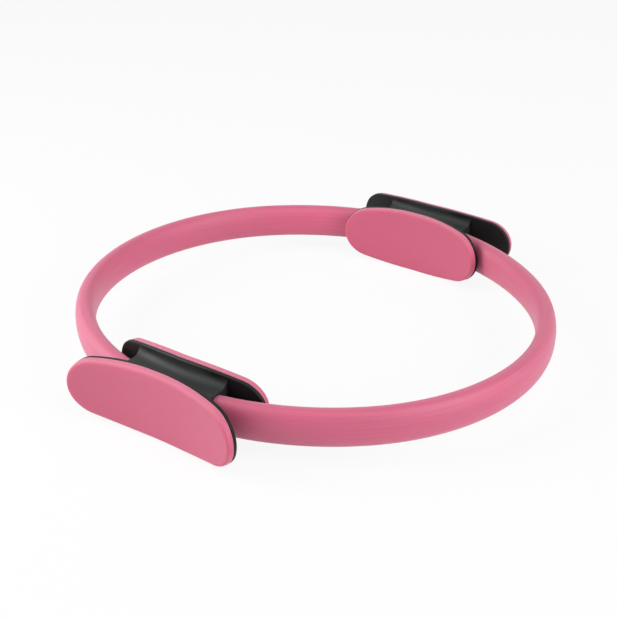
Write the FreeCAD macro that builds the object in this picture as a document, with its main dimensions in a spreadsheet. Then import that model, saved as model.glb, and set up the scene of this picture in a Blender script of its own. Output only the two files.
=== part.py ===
"""Pilates ring: a sprung hoop in foam sleeves with two padded saddle handles.

Millimetres. The ring lies flat, +Z is up, the handles are on -X and +X, and the origin is
under the ring's centre on the surface that it lies on. The hoop is an oval of four arcs, a
little narrower from handle to handle. Every body is drawn on the ring's mid-plane, a handle's
about the centre of the arc that runs through it, and its placement lifts it to half the pads'
height.
"""
import FreeCAD, Part
import os
import re
from math import asin, atan, degrees, hypot, radians, sin

import Sketcher

# Driving dimensions: alias, value and what it measures
SIZES = [
    ("hoop_radius", 199.0, "radius of the strip's middle on its way through a handle"),
    ("hoop_end_shift", 24.0, "from the ring's centre to that arc's centre, away from the handle"),
    ("hoop_side_shift", 22.0, "from the ring's centre to the centre of an arc between the handles"),
    ("strip_width", 20.0, "height of the flat strip"),
    ("strip_thickness", 3.0, "radial thickness of the flat strip"),
    ("strip_end_gap", 1.0, "gap between the two strips' ends inside a handle"),
    ("foam_height", 29.3, "height of the foam sleeve"),
    ("foam_depth", 16.1, "radial depth of the foam sleeve"),
    ("pad_height", 54.7, "height of all four pads"),
    ("pad_thickness", 5.5, "thickness of all four pads"),
    ("pad_end_drop", 4.0, "how much the rounding of a pad's ends is under half its height"),
    ("pad_flat", 12.0, "straight stretch in the middle of a pad's long edges"),
    ("outer_rim_bevel", 2.0, "bevel of an outer pad's edge towards the hand or leg"),
    ("inner_rim_bevel", 0.9, "bevel of an inner pad's edge towards the hand or leg"),
    ("outer_pad_length", 153.0, "length of an outer pad"),
    ("inner_pad_length", 135.5, "length of an inner pad"),
    ("outer_flange_end", 0.25, "how far an outer flange's outline runs past its pad's at each end"),
    ("inner_flange_end", 0.75, "how far an inner flange's outline runs past its pad's at each end"),
    ("outer_reach", 9.9, "from the middle of the strip out to an outer flange's pad side"),
    ("inner_reach", 14.2, "from the middle of the strip in to an inner flange's pad side"),
    ("outer_bow", 256.0, "radius of an outer flange's pad side, hollow to the outside"),
    ("inner_bow", 211.0, "radius of an inner flange's pad side, hollow to the inside"),
    ("flange_thickness", 2.5, "thickness of the flanges"),
    ("flange_inset", 0.2, "how far a flange's edge stands back from its pad's edge"),
    ("flange_rim_bevel", 0.5, "bevel of a flange's edge towards the hoop"),
    ("web_length", 82.0, "length of the web between the flanges"),
    ("web_height", 33.0, "height of the web between the flanges"),
    ("trough_radius", 7.3, "rounding between the web and the flanges"),
    ("trough_lip", 0.3, "how far the web's walls run on past that rounding"),
    ("socket_depth", 6.0, "how far the foam sleeve reaches into the web's end"),
    ("socket_clearance", 0.3, "gap between the foam sleeve and its socket"),
    ("fit_clearance", 0.15, "gap round the strip, the plate and the screws"),
    ("parting_gap", 0.2, "gap between the two shells of a handle"),
    ("adhesive_thickness", 0.4, "thickness of the sheets under the pads"),
    ("bond_gap", 0.1, "gap to either side of those sheets"),
    ("adhesive_inset", 3.0, "how far a sheet's edge stands back from its pad's edge"),
    ("splice_length", 58.0, "length of the plate behind the strips' ends"),
    ("splice_width", 18.0, "height of that plate"),
    ("splice_thickness", 2.0, "radial thickness of that plate"),
    ("screw_pitch", 16.0, "distance between neighbouring screws"),
    ("screw_diameter", 4.0, "diameter of a screw's shank"),
    ("screw_length", 16.0, "length of a screw under its head"),
    ("screw_head_diameter", 7.2, "diameter of a screw's head"),
    ("screw_head_height", 2.4, "height of a screw's head"),
    ("screw_seat_depth", 3.8, "how far a screw's seat lies under the outer flange's pad side"),
    ("counterbore_clearance", 0.5, "gap round a screw's head"),
    ("pilot_spare", 0.8, "how much deeper a screw's hole is than its end"),
    ("overrun", 20.0, "how far cutting shapes run past what they cut"),
]
SCREW_COUNT = 4
SCREW_PLACES = [number - (SCREW_COUNT - 1) / 2 for number in range(SCREW_COUNT)]
HALF_TURN = 180.0
# Corners of the foam's round section in one quarter, as shares of its half depth and half height
FOAM_CORNER_SHARES = ((1.0, 0.38), (0.74, 0.75), (0.34, 1.0))
# Two sizes this close are taken to be the same
SAME_SHARE = 1e-6
# The angle from a handle's middle to the floor of its socket
SOCKET_FLOOR = "asin((web_length / 2 - socket_depth) / hoop_radius)"
# The angle from a handle's middle to where its arc of the hoop meets the next
HOOP_CORNER = "atan(hoop_side_shift / hoop_end_shift)"
# The rounding of a pad's ends
PAD_END = "(pad_height / 2 - pad_end_drop)"
# From the centre of a handle's arc to the seat of its screws' heads
SCREW_SEAT = "hoop_radius + outer_reach - screw_seat_depth"

# Where a point of a sketch's piece is: its start, its end or its centre
START, END, CENTRE = range(1, 4)
# The sketch's own axes and origin
H_AXIS, V_AXIS = range(-1, -3, -1)

doc = FreeCAD.newDocument("pilates_ring")
sheet = doc.addObject("Spreadsheet::Sheet", "sizes")
for row, (alias, value, meaning) in enumerate(SIZES, start=1):
    sheet.set(f"A{row}", meaning)
    sheet.set(f"B{row}", str(value))
    sheet.setAlias(f"B{row}", alias)
doc.recompute()


def size(alias):
    """A driving dimension, read back from the sheet."""
    return float(getattr(sheet, alias))


def bind(target, path, formula):
    """Ties a property of an object to the sheet, with each alias of the formula looked up there."""
    aliases = {alias for alias, _, _ in SIZES}
    target.setExpression(
        path, re.sub(r"[a-z_]+", lambda word: f"sizes.{word[0]}" if word[0] in aliases else word[0], formula)
    )


def origin_plane(body, role):
    """One of the body's own origin planes."""
    return next(f for f in body.Origin.OriginFeatures if f.Role == role)


def new_body(name, turn):
    """A body on the ring's mid-plane, turned about the ring's axis."""
    body = doc.addObject("PartDesign::Body", name)
    body.Placement.Rotation = FreeCAD.Rotation(FreeCAD.Vector(0, 0, 1), turn)
    bind(body, ".Placement.Base.z", "pad_height / 2")
    return body


def stand_at_arc(thing, turn):
    """Places a thing at the centre of the hoop's arc through one of the handles."""
    bind(thing, ".Placement.Base.x", "hoop_end_shift" if turn else "-hoop_end_shift")


def handle_body(name, turn):
    """A body of one of the handles."""
    body = new_body(name, turn)
    stand_at_arc(body, turn)
    return body


def new_sketch(body, role, name):
    """A sketch on one of the body's origin planes."""
    sketch = body.newObject("Sketcher::SketchObject", name)
    sketch.AttachmentSupport = (origin_plane(body, role), "")
    sketch.MapMode = "FlatFace"
    return sketch


def vector(x, y):
    """A point of a sketch."""
    return FreeCAD.Vector(x, y, 0)


def arc(centre, radius, first, last):
    """A circle's arc between two angles in degrees, drawn counterclockwise."""
    circle = Part.Circle(centre, FreeCAD.Vector(0, 0, 1), radius)
    return Part.ArcOfCircle(circle, radians(first), radians(last))


def fix(sketch, formula, kind, *where):
    """A dimension of a sketch, tied to the sheet."""
    index = sketch.addConstraint(Sketcher.Constraint(kind, *where))
    bind(sketch, f"Constraints[{index}]", formula)


def close_loop(sketch, first, count, kind):
    """Joins each piece's end to the next one's start, all the way round."""
    for step in range(count):
        here, there = first + step, first + (step + 1) % count
        sketch.addConstraint(Sketcher.Constraint(kind, here, END, there, START))


def rectangle(sketch, low_x, high_x, height, formulas):
    """A rectangle across the horizontal axis. The formulas give its near side, far side and half height."""
    half = height / 2
    corners = [vector(low_x, -half), vector(high_x, -half), vector(high_x, half), vector(low_x, half)]
    first = sketch.GeometryCount
    for here, there in zip(corners, corners[1:] + corners[:1]):
        sketch.addGeometry(Part.LineSegment(here, there), False)
    close_loop(sketch, first, len(corners), "Coincident")
    bottom, far, top, near = range(first, first + len(corners))
    for line, kind in ((bottom, "Horizontal"), (far, "Vertical"), (top, "Horizontal"), (near, "Vertical")):
        sketch.addConstraint(Sketcher.Constraint(kind, line))
    near_side, far_side, half_height = formulas
    fix(sketch, near_side, "DistanceX", H_AXIS, START, bottom, START, low_x)
    fix(sketch, far_side, "DistanceX", H_AXIS, START, bottom, END, high_x)
    fix(sketch, half_height, "DistanceY", H_AXIS, START, top, START, half)
    fix(sketch, half_height, "DistanceY", bottom, START, H_AXIS, START, half)


def end_middle():
    """The strip's middle, from the centre of an arc through a handle, and its formula."""
    return size("hoop_radius"), "hoop_radius"


def side_middle():
    """The strip's middle, from the centre of an arc between the handles, and its formula."""
    less = hypot(size("hoop_end_shift"), size("hoop_side_shift"))
    return size("hoop_radius") - less, "hoop_radius - hypot(hoop_end_shift; hoop_side_shift)"


def foam_outline(sketch, place, clearance_alias=None):
    """The foam sleeve's round section in flats, grown by a clearance."""
    grow = size(clearance_alias) if clearance_alias else 0.0
    more = f" + {clearance_alias}" if clearance_alias else ""
    middle, middle_formula = place
    half_depth, half_height = size("foam_depth") / 2 + grow, size("foam_height") / 2 + grow
    quarter = FOAM_CORNER_SHARES
    corners = (
        list(quarter) + [(-out, up) for out, up in reversed(quarter)]
        + [(-out, -up) for out, up in quarter] + [(out, -up) for out, up in reversed(quarter)]
    )
    points = [vector(middle + out * half_depth, up * half_height) for out, up in corners]
    first = sketch.GeometryCount
    for here, there in zip(points, points[1:] + points[:1]):
        sketch.addGeometry(Part.LineSegment(here, there), False)
    close_loop(sketch, first, len(points), "Coincident")
    for line, (point, (out, up)) in enumerate(zip(points, corners), start=first):
        out_formula = f"{middle_formula} + ({out}) * (foam_depth / 2{more})"
        fix(sketch, out_formula, "DistanceX", H_AXIS, START, line, START, point.x)
        fix(sketch, f"({up}) * (foam_height / 2{more})", "DistanceY", H_AXIS, START, line, START, point.y)


def pad_outline(sketch, length, inset_alias=None):
    """A pad's outline seen from the hand's side: straight long edges, wide shoulders, round ends."""
    inset = size(inset_alias) if inset_alias else 0.0
    less = f" - {inset_alias}" if inset_alias else ""
    length_value, length_formula = length
    half_length = length_value / 2 - inset
    half_height = size("pad_height") / 2 - inset
    half_flat = size("pad_flat") / 2
    end = size("pad_height") / 2 - size("pad_end_drop") - inset
    lean = 2 * atan((half_height - end) / (half_length - half_flat - end))
    reach = (half_length - half_flat - end) / sin(lean)
    shoulder = reach + end
    turn = degrees(lean)
    quarter = HALF_TURN / 2
    tip = half_length - end
    dip = half_height - shoulder
    first = sketch.GeometryCount
    for piece in (
        arc(vector(tip, 0), end, turn - quarter, quarter - turn),
        arc(vector(half_flat, dip), shoulder, quarter - turn, quarter),
        Part.LineSegment(vector(half_flat, half_height), vector(-half_flat, half_height)),
        arc(vector(-half_flat, dip), shoulder, quarter, quarter + turn),
        arc(vector(-tip, 0), end, quarter + turn, 3 * quarter - turn),
        arc(vector(-half_flat, -dip), shoulder, 3 * quarter - turn, 3 * quarter),
        Part.LineSegment(vector(-half_flat, -half_height), vector(half_flat, -half_height)),
        arc(vector(half_flat, -dip), shoulder, 3 * quarter, 3 * quarter + turn),
    ):
        sketch.addGeometry(piece, False)
    close_loop(sketch, first, 8, "Tangent")
    right, top, left, bottom = first, first + 2, first + 4, first + 6
    for line in (top, bottom):
        sketch.addConstraint(Sketcher.Constraint("Symmetric", line, START, line, END, V_AXIS))
    fix(sketch, "pad_flat", "DistanceX", top, END, top, START, 2 * half_flat)
    fix(sketch, "pad_flat", "DistanceX", bottom, START, bottom, END, 2 * half_flat)
    fix(sketch, "pad_height / 2" + less, "DistanceY", H_AXIS, START, top, START, half_height)
    fix(sketch, "pad_height / 2" + less, "DistanceY", bottom, START, H_AXIS, START, half_height)
    for cap in (right, left):
        sketch.addConstraint(Sketcher.Constraint("PointOnObject", cap, CENTRE, H_AXIS))
        fix(sketch, PAD_END + less, "Radius", cap, end)
    fix(sketch, f"{length_formula} / 2 - {PAD_END}", "DistanceX", H_AXIS, START, right, CENTRE, tip)
    fix(sketch, f"{length_formula} / 2 - {PAD_END}", "DistanceX", left, CENTRE, H_AXIS, START, tip)


# The two flanges of a handle: which way their hollow side faces, and the sizes that place them
FLANGES = {
    place: {
        "way": way, "reach": f"{place}_reach", "bow": f"{place}_bow",
        "pad": f"{place}_pad_length", "end": f"{place}_flange_end",
    }
    for place, way in (("outer", 1), ("inner", -1))
}


def pad_length(flange):
    """The length of the pad on a flange and its formula."""
    return size(flange["pad"]), flange["pad"]


def flange_length(flange):
    """A flange's length and its formula: its pad's, and a little more at each end."""
    return size(flange["pad"]) + 2 * size(flange["end"]), f"({flange['pad']} + 2 * {flange['end']})"


def bow_radius(flange, *terms):
    """A radius about a flange's own centre and its formula: its pad side's, with signed sizes added."""
    radius = size(flange["bow"])
    formula = flange["bow"]
    for sign, alias in terms:
        radius += size(alias) if sign == "+" else -size(alias)
        formula += f" {sign} {alias}"
    return radius, formula


def bow_arc(sketch, flange, bow, span):
    """An arc about a flange's centre, as far as the span to either side."""
    radius, formula = bow
    way = flange["way"]
    centre = vector(size("hoop_radius") + way * (size(flange["reach"]) + size(flange["bow"])), 0)
    middle = HALF_TURN if way > 0 else 0.0
    reach = degrees(asin(span / radius))
    curve = arc(centre, radius, middle - reach, middle + reach)
    number = sketch.addGeometry(curve, False)
    sketch.addConstraint(Sketcher.Constraint("PointOnObject", number, CENTRE, H_AXIS))
    sign = "+" if way > 0 else "-"
    place = f"hoop_radius {sign} {flange['reach']} {sign} {flange['bow']}"
    fix(sketch, place, "DistanceX", H_AXIS, START, number, CENTRE, centre.x)
    fix(sketch, formula, "Radius", number, radius)
    return number, curve


def side_line(sketch, start, end, formula):
    """A straight side along the handle's radius, at a distance to one side of its middle."""
    number = sketch.addGeometry(Part.LineSegment(start, end), False)
    sketch.addConstraint(Sketcher.Constraint("Horizontal", number))
    if start.y > 0:
        fix(sketch, formula, "DistanceY", H_AXIS, START, number, START, start.y)
    else:
        fix(sketch, formula, "DistanceY", number, START, H_AXIS, START, -start.y)
    return number


def join(sketch, *pairs):
    """Makes pairs of points meet."""
    for pair in pairs:
        sketch.addConstraint(Sketcher.Constraint("Coincident", *pair))


def slab_plan(sketch, flange, near, far):
    """A bowed slab seen from above, between two radii about a flange's centre."""
    full, formula = flange_length(flange)
    span = full / 2 + size("overrun")
    half = f"{formula} / 2 + overrun"
    near_arc, near_curve = bow_arc(sketch, flange, near, span)
    far_arc, far_curve = bow_arc(sketch, flange, far, span)
    last = side_line(sketch, near_curve.EndPoint, far_curve.EndPoint, half)
    first = side_line(sketch, far_curve.StartPoint, near_curve.StartPoint, half)
    join(
        sketch, (near_arc, END, last, START), (last, END, far_arc, END),
        (far_arc, START, first, START), (first, END, near_arc, START),
    )


def plan_between(sketch, depth, half_length):
    """The space between the flanges seen from above. The depth is how far it goes in past their pad sides."""
    span, half = half_length
    arcs, curves = [], []
    for flange in (FLANGES["inner"], FLANGES["outer"]):
        radius = size(flange["bow"]) + depth[0]
        number, curve = bow_arc(sketch, flange, (radius, f"{flange['bow']} + {depth[1]}"), span)
        arcs.append(number)
        curves.append(curve)
    first = side_line(sketch, curves[0].EndPoint, curves[1].StartPoint, half)
    last = side_line(sketch, curves[1].EndPoint, curves[0].StartPoint, half)
    join(
        sketch, (arcs[0], END, first, START), (first, END, arcs[1], START),
        (arcs[1], END, last, START), (last, END, arcs[0], START),
    )


def must_shrink(body, before, name):
    """Stops the build where a cut missed its body."""
    if not body.Shape.Volume < before:
        raise RuntimeError(f"{body.Label}: {name} cut nothing")


def add_pad(body, sketch, formula, name):
    """Material to both sides of a sketch."""
    pad = body.newObject("PartDesign::Pad", name)
    pad.Profile = sketch
    pad.SideType = "Symmetric"
    bind(pad, "Length", formula)
    doc.recompute()


def add_pocket(body, sketch, name, side="One side", depth=None, away=False):
    """A cut from a sketch, through everything unless it has a depth."""
    before = body.Shape.Volume
    pocket = body.newObject("PartDesign::Pocket", name)
    pocket.Profile = sketch
    pocket.SideType = side
    pocket.Reversed = away
    if depth:
        bind(pocket, "Length", depth)
    else:
        pocket.Type = "ThroughAll"
    doc.recompute()
    must_shrink(body, before, name)
    return pocket


def add_turn(body, sketch, formula, name, symmetric=True):
    """Material turned about a sketch's vertical axis."""
    turned = body.newObject("PartDesign::Revolution", name)
    turned.Profile = sketch
    turned.ReferenceAxis = (sketch, ["V_Axis"])
    turned.Midplane = symmetric
    bind(turned, "Angle", formula)
    doc.recompute()
    return turned


def add_groove(body, sketch, formula, name, symmetric=True):
    """A cut turned about a sketch's vertical axis."""
    before = body.Shape.Volume
    groove = body.newObject("PartDesign::Groove", name)
    groove.Profile = sketch
    groove.ReferenceAxis = (sketch, ["V_Axis"])
    groove.Midplane = symmetric
    bind(groove, "Angle", formula)
    doc.recompute()
    must_shrink(body, before, name)
    return groove


def add_round(body, edges, formula, name):
    """Rounds some edges of a body's last feature."""
    base = body.Tip
    rounded = body.newObject("PartDesign::Fillet", name)
    rounded.Base = (base, edges)
    bind(rounded, "Radius", formula)
    doc.recompute()


def add_bevel(body, radius, formula, name):
    """Bevels the edges round the body's faces of one radius."""
    base = body.Tip
    bevel = body.newObject("PartDesign::Chamfer", name)
    bevel.Base = (base, edge_names(base.Shape, round_edges(base.Shape, radius)))
    bind(bevel, "Size", formula)
    doc.recompute()


def is_round(face, radius):
    """Whether a face is part of a cylinder of that radius."""
    surface = face.Surface
    return isinstance(surface, Part.Cylinder) and abs(surface.Radius - radius) < SAME_SHARE * radius


def is_level(face, height):
    """Whether a face is level, that far above or below the mid-plane."""
    box = face.BoundBox
    near = SAME_SHARE * height
    return box.ZLength < near and abs(abs(box.Center.z) - height) < near


def edge_names(shape, wanted):
    """The names of a shape's edges that are among the wanted ones."""
    return [
        f"Edge{number}"
        for number, edge in enumerate(shape.Edges, start=1)
        if any(edge.isSame(other) for other in wanted)
    ]


def round_edges(shape, radius):
    """The edges of the faces of one radius."""
    return [edge for face in shape.Faces if is_round(face, radius) for edge in face.Edges]


def cut_to_outline(body, place, length, inset_alias=None):
    """Takes off what lies outside an outline, from the strip's radius towards the pad."""
    flange = FLANGES[place]
    edge = new_sketch(body, "YZ_Plane", f"{place}_edge")
    bind(edge, ".AttachmentOffset.Base.z", "hoop_radius")
    full, formula = flange_length(flange)
    half_length = full / 2 + 2 * size("overrun")
    half_formula = f"{formula} / 2 + 2 * overrun"
    rectangle(
        edge, -half_length, half_length, size("pad_height") + 4 * size("overrun"),
        (f"-({half_formula})", half_formula, "pad_height / 2 + 2 * overrun"),
    )
    pad_outline(edge, length, inset_alias)
    add_pocket(body, edge, f"{place}_outline", away=flange["way"] > 0)


def bowed_slab(body, place, near, far, length, inset_alias=None):
    """A slab bowed like one of the flanges and cut to an outline of that length."""
    flange = FLANGES[place]
    plan = new_sketch(body, "XY_Plane", f"{place}_plan")
    slab_plan(plan, flange, near, far)
    add_pad(body, plan, "pad_height + 2 * overrun", f"{place}_slab")
    cut_to_outline(body, place, length, inset_alias)


def screw_circles(sketch, places, clearance_alias, diameter_alias):
    """A row of holes. The places count in screw pitches from the handle's middle."""
    diameter = size(diameter_alias) + 2 * size(clearance_alias)
    for place in places:
        centre = vector(place * size("screw_pitch"), 0)
        circle = Part.Circle(centre, FreeCAD.Vector(0, 0, 1), diameter / 2)
        number = sketch.addGeometry(circle, False)
        sketch.addConstraint(Sketcher.Constraint("PointOnObject", number, CENTRE, H_AXIS))
        fix(sketch, f"{place} * screw_pitch", "DistanceX", H_AXIS, START, number, CENTRE, centre.x)
        fix(sketch, f"{diameter_alias} + 2 * {clearance_alias}", "Diameter", number, diameter)


def band_section(sketch, low, high, height):
    """A rectangular section across the mid-plane. Each side is a number and its formula."""
    rectangle(sketch, low[0], high[0], 2 * height[0], (low[1], high[1], height[1]))


def strip_section(sketch, place, clearance_alias=None):
    """The flat strip's section, grown by a clearance."""
    grow = size(clearance_alias) if clearance_alias else 0.0
    more = f" + {clearance_alias}" if clearance_alias else ""
    middle, middle_formula = place
    half = size("strip_thickness") / 2 + grow
    reach = f"(strip_thickness / 2{more})"
    band_section(
        sketch,
        (middle - half, f"{middle_formula} - {reach}"),
        (middle + half, f"{middle_formula} + {reach}"),
        (size("strip_width") / 2 + grow, f"strip_width / 2{more}"),
    )


def splice_section(sketch, clearance_alias=None):
    """The section of the plate on the strip's inner side, grown by a clearance."""
    grow = size(clearance_alias) if clearance_alias else 0.0
    more = f" + {clearance_alias}" if clearance_alias else ""
    back = size("hoop_radius") - size("strip_thickness") / 2
    low = back - size("splice_thickness") - grow
    band_section(
        sketch,
        (low, f"hoop_radius - strip_thickness / 2 - (splice_thickness{more})"),
        (back, "hoop_radius - strip_thickness / 2"),
        (size("splice_width") / 2 + grow, f"splice_width / 2{more}"),
    )


def turned_section(body, name, angle):
    """A sketch across a handle's arc, turned about its vertical axis to an angle from the handle's middle."""
    section = new_sketch(body, "XZ_Plane", name)
    section.AttachmentOffset.Rotation = FreeCAD.Rotation(FreeCAD.Vector(0, 1, 0), 0)
    bind(section, ".AttachmentOffset.Rotation.Angle", angle)
    return section


def half_hoop(body, draw_section, start):
    """Half the oval: an arc over its side, and an arc from either end of that into a handle."""
    side = new_sketch(body, "YZ_Plane", "side_section")
    bind(side, ".AttachmentOffset.Base.x", "hoop_side_shift")
    draw_section(side, side_middle())
    add_turn(body, side, f"180 deg - 2 * {HOOP_CORNER}", "side_arc")
    end = turned_section(body, "end_section", start)
    bind(end, ".AttachmentOffset.Base.x", "-hoop_end_shift")
    draw_section(end, end_middle())
    end_arc = add_turn(body, end, f"{HOOP_CORNER} - ({start})", "end_arc", symmetric=False)
    mirror(body, end_arc, "YZ_Plane", "end_arc_pair")


def hoop_strip(name, turn):
    """Half a hoop of flat strip, with two screw holes at each end."""
    body = new_body(name, turn)
    half_hoop(body, strip_section, "asin(strip_end_gap / 2 / hoop_radius)")
    holes = new_sketch(body, "YZ_Plane", "holes")
    screw_circles(holes, [place for place in SCREW_PLACES if place > 0], "fit_clearance", "screw_diameter")
    add_pocket(body, holes, "screw_holes", side="Symmetric")


def foam_sleeve(name, turn):
    """Half a hoop of foam tube round the strip, whose ends go into the handles' sockets."""
    body = new_body(name, turn)
    half_hoop(body, tube_section, f"{SOCKET_FLOOR} + asin(socket_clearance / hoop_radius)")


def tube_section(sketch, place):
    """The foam sleeve's section, with the hole that the strip goes through."""
    foam_outline(sketch, place)
    strip_section(sketch, place, "fit_clearance")


def mirror(body, feature, role, name):
    """The same feature on the other side of one of the body's planes."""
    pair = body.newObject("PartDesign::Mirrored", name)
    pair.Originals = [feature]
    pair.MirrorPlane = (origin_plane(body, role), [""])
    body.Tip = pair
    doc.recompute()


def mirror_cut(body, cut, role, name):
    """The same cut on the other side of one of the body's planes."""
    before = body.Shape.Volume
    mirror(body, cut, role, name)
    must_shrink(body, before, name)


def add_trough(body):
    """The hollows over and under the web, which run up into the flanges."""
    plan = new_sketch(body, "XY_Plane", "trough_plan")
    bind(plan, ".AttachmentOffset.Base.z", "web_height / 2")
    plan_between(
        plan, (size("flange_thickness"), "flange_thickness"),
        (size("web_length") / 2 + size("overrun"), "web_length / 2 + overrun"),
    )
    channel = add_pocket(body, plan, "channel", away=True)
    mirror_cut(body, channel, "XY_Plane", "channel_pair")
    shape = body.Tip.Shape
    level = [e for f in shape.Faces if is_level(f, size("web_height") / 2) for e in f.Edges]
    curved = []
    for flange in FLANGES.values():
        curved += round_edges(shape, size(flange["bow"]) + size("flange_thickness"))
    roots = [e for e in level if any(e.isSame(other) for other in curved)]
    add_round(body, edge_names(shape, roots), "trough_radius", "trough")


def add_sockets(body):
    """A bore in each end of the web for the foam sleeves."""
    section = turned_section(body, "socket_section", SOCKET_FLOOR)
    foam_outline(section, end_middle(), "socket_clearance")
    socket = add_groove(
        body, section, "asin((socket_depth + overrun) / hoop_radius)", "socket", symmetric=False
    )
    mirror_cut(body, socket, "XZ_Plane", "socket_pair")


def add_screw_bores(body, name, clearance_alias, diameter_alias, depth=None, away=False):
    """A row of bores from the screws' seat, outwards for their heads or inwards for their shanks."""
    circles = new_sketch(body, "YZ_Plane", f"{name}_row")
    bind(circles, ".AttachmentOffset.Base.z", SCREW_SEAT)
    screw_circles(circles, SCREW_PLACES, clearance_alias, diameter_alias)
    add_pocket(body, circles, name, depth=depth, away=away)


def add_head_bores(body):
    """Bores for the screws' heads, open towards the outer pad."""
    add_screw_bores(body, "head_bores", "counterbore_clearance", "screw_head_diameter", away=True)


def handle_flange(side, place, turn):
    """A flange of a handle, with its edge bevelled towards the hoop."""
    body = handle_body(f"{side}_{place}_flange", turn)
    flange = FLANGES[place]
    far = bow_radius(flange, ("+", "flange_thickness"))
    bowed_slab(body, place, bow_radius(flange), far, flange_length(flange), "flange_inset")
    add_bevel(body, far[0], "flange_rim_bevel", "rim")
    if place == "outer":
        add_head_bores(body)
    return body


def handle_web(side, turn):
    """The web between a handle's flanges, hollowed above and below and bored for what it holds."""
    body = handle_body(f"{side}_web", turn)
    plan = new_sketch(body, "XY_Plane", "web_plan")
    plan_between(
        plan, (size("flange_thickness") / 2, "flange_thickness / 2"),
        (size("web_length") / 2, "web_length / 2"),
    )
    add_pad(body, plan, "web_height + 2 * (trough_radius + trough_lip)", "block")
    add_trough(body)
    slot = new_sketch(body, "XZ_Plane", "strip_slot_section")
    strip_section(slot, end_middle(), "fit_clearance")
    add_groove(body, slot, "2 * asin((web_length / 2 + overrun) / hoop_radius)", "strip_slot")
    seat = new_sketch(body, "XZ_Plane", "splice_seat_section")
    splice_section(seat, "fit_clearance")
    add_groove(body, seat, "2 * asin((splice_length / 2 + fit_clearance) / hoop_radius)", "splice_seat")
    add_sockets(body)
    add_head_bores(body)
    deep = "screw_length + pilot_spare"
    add_screw_bores(body, "shank_bores", "fit_clearance", "screw_diameter", depth=deep)
    return body


def handle_shells(side, turn):
    """A handle's two shells: each flange with its part of the web, parted along the middle of the strip."""
    web = handle_web(side, turn)
    for place, kind, sign in (("outer", "Part::Cut", "+"), ("inner", "Part::Common", "-")):
        drum = doc.addObject("Part::Cylinder", f"{side}_{place}_parting")
        bind(drum, "Radius", f"hoop_radius {sign} parting_gap / 2")
        bind(drum, "Height", "pad_height + 2 * overrun")
        bind(drum, ".Placement.Base.z", "-overrun")
        stand_at_arc(drum, turn)
        half_web = doc.addObject(kind, f"{side}_{place}_web")
        half_web.Base = web
        half_web.Tool = drum
        shell = doc.addObject("Part::Fuse", f"{side}_{place}_shell")
        shell.Base = handle_flange(side, place, turn)
        shell.Tool = half_web
        shell.Refine = True
    doc.recompute()


def pad(side, place, turn):
    """A foam pad, bowed like its flange, with its edge bevelled towards the hand."""
    body = handle_body(f"{side}_{place}_pad", turn)
    flange = FLANGES[place]
    glued = (("-", "bond_gap"), ("-", "adhesive_thickness"), ("-", "bond_gap"))
    back = bow_radius(flange, *glued)
    face = bow_radius(flange, *glued, ("-", "pad_thickness"))
    bowed_slab(body, place, face, back, pad_length(flange))
    add_bevel(body, face[0], f"{place}_rim_bevel", "rim")


def adhesive(side, place, turn):
    """The thin sheet that holds a pad on its flange."""
    body = handle_body(f"{side}_{place}_pad_adhesive", turn)
    flange = FLANGES[place]
    back = bow_radius(flange, ("-", "bond_gap"))
    face = bow_radius(flange, ("-", "bond_gap"), ("-", "adhesive_thickness"))
    bowed_slab(body, place, face, back, pad_length(flange), "adhesive_inset")


def splice_plate(side, turn):
    """The plate behind the strips' ends, with the same row of screw holes."""
    body = handle_body(f"{side}_splice_plate", turn)
    section = new_sketch(body, "XZ_Plane", "section")
    splice_section(section)
    add_turn(body, section, "2 * asin(splice_length / 2 / hoop_radius)", "plate")
    holes = new_sketch(body, "YZ_Plane", "holes")
    screw_circles(holes, SCREW_PLACES, "fit_clearance", "screw_diameter")
    add_pocket(body, holes, "screw_holes", side="Symmetric")


def screw_profile(sketch):
    """Half a screw on the radius through the handle's middle, head outwards."""
    seat = size("hoop_radius") + size("outer_reach") - size("screw_seat_depth")
    top = seat + size("screw_head_height")
    tip = seat - size("screw_length")
    head = size("screw_head_diameter") / 2
    shank = size("screw_diameter") / 2
    corners = [
        vector(top, 0), vector(top, head), vector(seat, head),
        vector(seat, shank), vector(tip, shank), vector(tip, 0),
    ]
    for here, there in zip(corners, corners[1:] + corners[:1]):
        sketch.addGeometry(Part.LineSegment(here, there), False)
    close_loop(sketch, 0, len(corners), "Coincident")
    crown, flank, under, side, end, axis = range(len(corners))
    for line in (crown, under, end):
        sketch.addConstraint(Sketcher.Constraint("Vertical", line))
    for line in (flank, side):
        sketch.addConstraint(Sketcher.Constraint("Horizontal", line))
    sketch.addConstraint(Sketcher.Constraint("PointOnObject", axis, START, H_AXIS))
    sketch.addConstraint(Sketcher.Constraint("PointOnObject", axis, END, H_AXIS))
    fix(sketch, SCREW_SEAT, "DistanceX", H_AXIS, START, under, START, seat)
    fix(sketch, "screw_head_height", "DistanceX", under, START, axis, END, top - seat)
    fix(sketch, "screw_head_diameter / 2", "DistanceY", H_AXIS, START, under, START, head)
    fix(sketch, "screw_diameter / 2", "DistanceY", H_AXIS, START, under, END, shank)
    fix(sketch, "screw_length", "DistanceX", axis, START, under, START, seat - tip)


def clamp_screws(side, turn):
    """The row of screws that pulls a handle's shells together."""
    body = handle_body(f"{side}_clamp_screws", turn)
    profile = new_sketch(body, "XZ_Plane", "profile")
    screw_profile(profile)
    screw = body.newObject("PartDesign::Revolution", "screw")
    screw.Profile = profile
    screw.ReferenceAxis = (profile, ["H_Axis"])
    doc.recompute()
    row = body.newObject("PartDesign::LinearPattern", "row")
    row.Originals = [screw]
    row.Direction = (origin_plane(body, "Y_Axis"), [""])
    row.Occurrences = SCREW_COUNT
    bind(row, "Length", f"{SCREW_COUNT - 1} * screw_pitch")
    body.Tip = row
    way = 1 if turn else -1
    bind(body, ".Placement.Base.y", f"{way * (SCREW_COUNT - 1) / 2} * screw_pitch")
    doc.recompute()


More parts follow.
